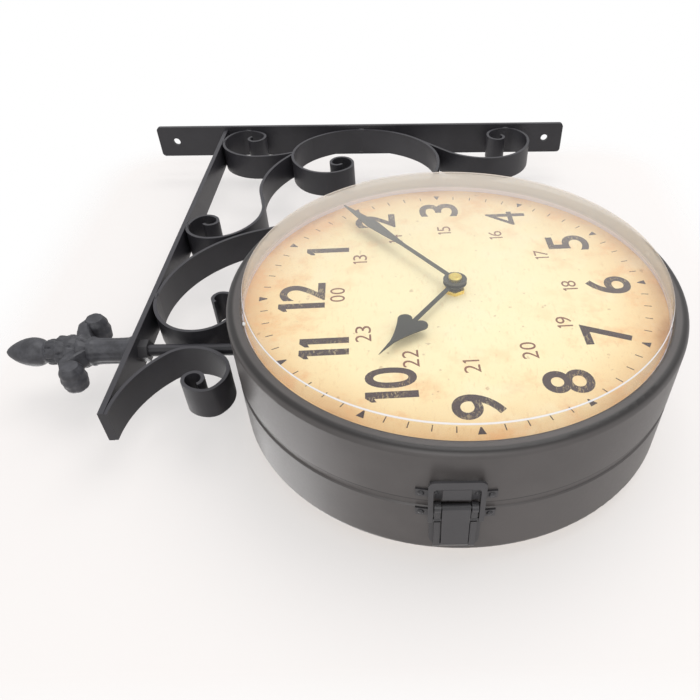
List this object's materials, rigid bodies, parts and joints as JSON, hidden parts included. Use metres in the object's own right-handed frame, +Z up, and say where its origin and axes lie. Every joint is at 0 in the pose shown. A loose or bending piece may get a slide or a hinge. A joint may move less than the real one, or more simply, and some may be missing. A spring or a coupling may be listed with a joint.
{
  "type": "double sided station clock",
  "caption": "Drum clock with a dial on each face, hung by a rod from a scrolled strip-iron wall bracket, with one face hinged and latched.",
  "frame": {"origin": "on the wall face of the wall strip, midway between its screw holes", "axes": "+X into the wall, so the arm reaches out along -X; -Y is the side of the hinged, pictured dial; +Z up"},
  "size_m": [0.4057, 0.0862, 0.3712],
  "materials": {
    "bracket_black": "satin black paint on steel strip",
    "case_black": "satin dark grey-black paint on rolled sheet",
    "latch_black": "satin black paint",
    "cast_black": "rough cast, painted black",
    "clear_plastic": "clear moulded plastic",
    "pale_ring": "pale plastic",
    "dial_print": "aged cream print with dark numerals",
    "inner_steel": "plain",
    "movement_black": "moulded",
    "knob_plastic": "moulded",
    "battery_cell": "plain sleeve",
    "brass": "bright",
    "hand_black": "satin black",
    "plain_steel": "plain"
  },
  "bodies": {
    "bracket": {"wall_strip": "bracket_black", "bracket_arm": "bracket_black", "main_scroll": "bracket_black", "corner_scroll": "bracket_black", "branch_scroll": "bracket_black", "lower_scroll": "bracket_black", "outer_scroll": "bracket_black", "hanger_rod": "bracket_black", "arm_nut": "bracket_black", "shell_washer": "plain_steel", "shell_nut": "plain_steel", "finial": "cast_black", "back_shell": "case_black", "back_lens": "clear_plastic", "back_spacer_ring": "pale_ring", "back_dial": "dial_print", "back_dial_carrier": "inner_steel", "back_movement": "movement_black", "back_battery": "battery_cell", "back_bush_nut": "brass", "hinge_leaf_back": "case_black", "hinge_pin": "plain_steel", "latch_base": "latch_black", "latch_pivot_pin": "plain_steel"},
    "door": {"front_shell": "case_black", "front_lens": "clear_plastic", "front_spacer_ring": "pale_ring", "front_dial": "dial_print", "front_dial_carrier": "inner_steel", "front_movement": "movement_black", "front_battery": "battery_cell", "front_bush_nut": "brass", "hinge_leaf_front": "case_black", "latch_catch": "latch_black"},
    "front_hour": {"front_hour_tube": "brass", "front_hour_hand": "hand_black"},
    "front_minute": {"front_minute_shaft": "brass", "front_minute_hand": "hand_black", "front_cap_nut": "brass"},
    "front_knob": {"front_set_knob": "knob_plastic"},
    "back_hour": {"back_hour_tube": "brass", "back_hour_hand": "hand_black"},
    "back_minute": {"back_minute_shaft": "brass", "back_minute_hand": "hand_black", "back_cap_nut": "brass"},
    "back_knob": {"back_set_knob": "knob_plastic"},
    "lever": {"latch_lever": "latch_black", "latch_link_pin": "plain_steel"},
    "loop": {"latch_loop": "latch_black"}
  },
  "joints": [
    {"name": "door_hinge", "type": "hinge", "parent": "bracket", "child": "door", "pos_m": [-0.1607, -0.0124, -0.0627], "axis": [0, 0, 1], "range_deg": [0, 100]},
    {"name": "latch_lever_pivot", "type": "hinge", "parent": "bracket", "child": "lever", "pos_m": [-0.4033, -0.0136, -0.057], "axis": [0, 0, 1], "range_deg": [0, 90]},
    {"name": "latch_loop_link", "type": "hinge", "parent": "lever", "child": "loop", "pos_m": [-0.403, -0.0044, -0.057], "axis": [0, 0, 1], "range_deg": [-90, 0]},
    {"name": "front_minute_spin", "type": "hinge", "parent": "door", "child": "front_minute", "pos_m": [-0.282, -0.0359, -0.0627], "axis": [0, 1, 0], "continuous": true},
    {"name": "front_hour_spin", "type": "hinge", "parent": "door", "child": "front_hour", "pos_m": [-0.282, -0.0359, -0.0627], "axis": [0, 1, 0], "continuous": true},
    {"name": "front_knob_spin", "type": "hinge", "parent": "door", "child": "front_knob", "pos_m": [-0.267, -0.0184, -0.0547], "axis": [0, 1, 0], "continuous": true},
    {"name": "back_minute_spin", "type": "hinge", "parent": "bracket", "child": "back_minute", "pos_m": [-0.282, 0.0111, -0.0627], "axis": [0, -1, 0], "continuous": true},
    {"name": "back_hour_spin", "type": "hinge", "parent": "bracket", "child": "back_hour", "pos_m": [-0.282, 0.0111, -0.0627], "axis": [0, -1, 0], "continuous": true},
    {"name": "back_knob_spin", "type": "hinge", "parent": "bracket", "child": "back_knob", "pos_m": [-0.297, -0.0064, -0.0547], "axis": [0, -1, 0], "continuous": true}
  ],
  "couplings": [
    {"joint": "latch_loop_link", "follows": "latch_lever_pivot", "ratio": -1},
    {"joint": "front_hour_spin", "follows": "front_minute_spin", "ratio": 0.083333},
    {"joint": "front_knob_spin", "follows": "front_minute_spin", "ratio": -3},
    {"joint": "back_hour_spin", "follows": "back_minute_spin", "ratio": 0.083333},
    {"joint": "back_knob_spin", "follows": "back_minute_spin", "ratio": -3}
  ]
}
